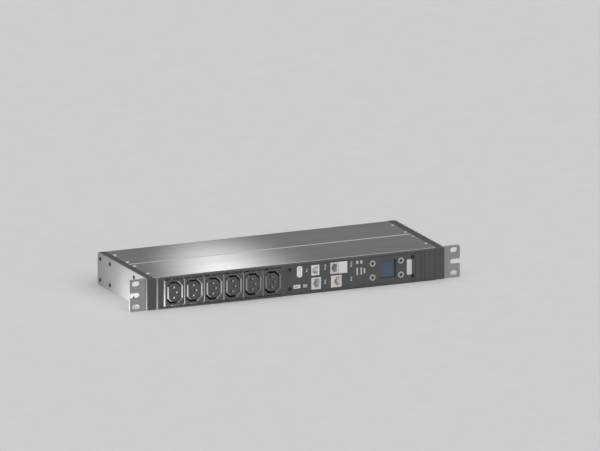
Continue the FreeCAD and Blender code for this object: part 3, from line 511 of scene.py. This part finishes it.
wires = bmesh.new()
for jack, (finish_name, count) in JACKS.items():
    node = frame["nodes"][jack]
    corners = [node.matrix_world @ Vector(corner) for corner in node.bound_box]
    low, high = Vector(map(min, *corners)), Vector(map(max, *corners))
    bm = merged_copy("contact_inserts")
    others = [
        v for v in bm.verts if not (low.x < v.co.x < high.x and low.z < v.co.z < high.z)
    ]
    bmesh.ops.delete(bm, geom=others, context="VERTS")
    rounded_off(bm, [e for e in bm.edges if e.calc_face_angle() > SHARP], INSERT_EDGE, 1)
    right, level = max(v.co.x for v in bm.verts) / MM, (low.z + high.z) / 2 / MM
    add_piece(jack + "_insert", bm, finish_name, replaced=("contact_inserts",))
    for place in range(count):
        z = level + (place - (count - 1) / 2) * WIRE_PITCH
        slanted_wire(wires, (right - WIRE_INSET, WIRE_Y, z))
add_piece("contact_wires", wires, "pin_metal")


# Printed marks on the faceplate: a triangle with rows of bars above it

MARKS = (  # x, z and number of bars
    (15.4, 10.6, 1), (42.1, 11.2, 3), (42.1, -8.5, 2), (80.3, 11.2, 3), (80.3, -8.1, 2),
)
MARK_Y, MARK_DEPTH = PANEL_Y - 0.05, 0.06
TRIANGLE_SIZE, TRIANGLE_DROP = (3.6, 3.2), 1.2
BAR_SIZE, BAR_SHIFT, BAR_RISE, BAR_PITCH = (3.8, 1.0), 0.4, 1.4, 1.5


def printed(bm, sides, x, z, size):
    """A small raised mark with three or four sides."""
    verts = bmesh.ops.create_circle(bm, cap_ends=True, segments=sides, radius=0.5)["verts"]
    if sides == 4:
        level = Matrix.Rotation(QUARTER / 2, 3, "Z")
        bmesh.ops.rotate(bm, cent=(0, 0, 0), matrix=level, verts=verts)
    placed(bm, verts, (*size, 1), Matrix.Rotation(QUARTER, 3, "X"), (x, MARK_Y, z))
    drawn_out(bm, verts[0].link_faces[:], MARK_DEPTH)


bm = bmesh.new()
for x, z, rows in MARKS:
    printed(bm, 3, x, z - TRIANGLE_DROP, TRIANGLE_SIZE)
    for row in range(rows):
        printed(bm, 4, x + BAR_SHIFT, z + BAR_RISE + BAR_PITCH * row, BAR_SIZE)
faced_outward(bm)
add_piece("panel_marks", bm, "print_white")


# Floor, light and camera; places are in metres

FLOOR_SIZE = 8
WORLD_TONE = (0.2, 0.2, 0.205, 1)
CAMERA_AZIMUTH, CAMERA_ELEVATION = math.radians(-23.93), math.radians(14.08)
CAMERA_AIM = Vector((0, -0.002, 0))
CAMERA_RIGHT, CAMERA_UP, CAMERA_BACK = 0.00691, 0.0708, 2  # shifts from the aim
CAMERA_WIDTH = 0.8019
SPOT_RADIUS = 0.05


def in_scene(thing):
    bpy.context.scene.collection.objects.link(thing)
    return thing


def pale_floor():
    """The floor under the unit."""
    bm = bmesh.new()
    bmesh.ops.create_grid(bm, x_segments=1, y_segments=1, size=FLOOR_SIZE)
    bmesh.ops.translate(bm, verts=bm.verts, vec=(0, 0, cad_box[0].z))
    mesh = bpy.data.meshes.new("floor")
    bm.to_mesh(mesh)
    bm.free()
    mesh.materials.append(FINISHES["floor_pale"])
    floor = in_scene(bpy.data.objects.new("floor", mesh))


def aimed(thing, place, direction):
    """Puts a lamp or a camera at a place and turns it to a direction."""
    thing.location = place
    thing.rotation_mode = "QUATERNION"
    thing.rotation_quaternion = direction.to_track_quat("-Z", "Y")
    return in_scene(thing)


def lamp_at(data, place, aim):
    """A lamp at a place, turned to face a point."""
    lamp = bpy.data.objects.new(data.name, data)
    lamp.visible_camera = False
    return aimed(lamp, place, Vector(aim) - Vector(place))


def shines_on(lamp, pieces):
    """Keeps a lamp's light to some pieces."""
    receivers = bpy.data.collections.new(lamp.name + "_pieces")
    for piece in pieces:
        receivers.objects.link(piece)
    lamp.light_linking.receiver_collection = receivers


def wide_light(name, direction, strength, softness):
    """Even light from one direction over the whole scene, with soft shadows."""
    data = bpy.data.lights.new(name, "SUN")
    data.energy = strength
    data.angle = math.radians(softness)
    lamp_at(data, direction, (0, 0, 0))


def spot_light(name, place, aim, width, power, pieces):
    """A soft-edged beam; the width is its angle."""
    data = bpy.data.lights.new(name, "SPOT")
    data.spot_size = math.radians(width)
    data.spot_blend = 1.0
    data.shadow_soft_size = SPOT_RADIUS
    data.energy = power
    shines_on(lamp_at(data, place, aim), pieces)


def card_light(name, place, aim, size, power, pieces):
    """A card of light close to the unit, with no shadow and no glare of its own."""
    data = bpy.data.lights.new(name, "AREA")
    data.shape = "RECTANGLE"
    data.size, data.size_y = size
    data.energy = power
    data.use_shadow = False
    lamp = lamp_at(data, place, aim)
    lamp.visible_glossy = False
    shines_on(lamp, pieces)


def photo_camera():
    """View from the front left and a little above, with parallel lines."""
    back = Vector((
        math.sin(CAMERA_AZIMUTH) * math.cos(CAMERA_ELEVATION),
        -math.cos(CAMERA_AZIMUTH) * math.cos(CAMERA_ELEVATION),
        math.sin(CAMERA_ELEVATION),
    ))
    right = Vector((math.cos(CAMERA_AZIMUTH), math.sin(CAMERA_AZIMUTH), 0))
    target = CAMERA_AIM + right * CAMERA_RIGHT + back.cross(right) * CAMERA_UP
    data = bpy.data.cameras.new("camera")
    data.type = "ORTHO"
    data.ortho_scale = CAMERA_WIDTH
    camera = bpy.data.objects.new("camera", data)
    bpy.context.scene.camera = aimed(camera, target + back * CAMERA_BACK, -back)


def named(*starts):
    """The unit's pieces and nodes whose names start so."""
    return [thing for thing in unit if thing.name.startswith(starts)]


pale_floor()
photo_camera()
unit = [
    thing for thing in bpy.context.scene.objects
    if thing.type == "MESH" and thing.name != "floor"
]
wide_light("overhead", direction=(0.15, -0.15, 1), strength=1.5, softness=100)
wide_light("front_fill", direction=(-0.15, -1, 0.75), strength=1.3, softness=100)
spot_light(
    "rear_spot", place=(0.2, 1.23, 0.547), aim=(-0.098, -0.06, 0.0217), width=7.8, power=45,
    pieces=named("front_profile_", "rear_profile_")
)
card_light(
    "side_card", place=(-0.29, 0.02, -0.03), aim=(-0.2175, 0.06, -0.01), size=(0.06, 0.03),
    power=0.34, pieces=unit
)
card_light(
    "jack_card", place=(0.0, -0.35, 0.05), aim=(0.045, 0.0, 0.0), size=(0.1, 0.1),
    power=0.9, pieces=named("serial_jack_", "lower_network_jack_insert")
)
card_light(
    "socket_card", place=(-0.24, 0.01, -0.07), aim=(-0.1, 0.0, 0.0), size=(0.03, 0.03),
    power=1.2, pieces=named("outlet_")
)
card_light(
    "frame_card", place=(-0.3, 0.01, -0.09), aim=(-0.1, 0.0, 0.0), size=(0.04, 0.04),
    power=1.1, pieces=named("front_bezel", "left_end_cap")
)
world = bpy.data.worlds.new("studio")
world.use_nodes = True
world.node_tree.nodes["Background"].inputs["Color"].default_value = WORLD_TONE
bpy.context.scene.world = world
bpy.context.scene.view_settings.view_transform = "Standard"
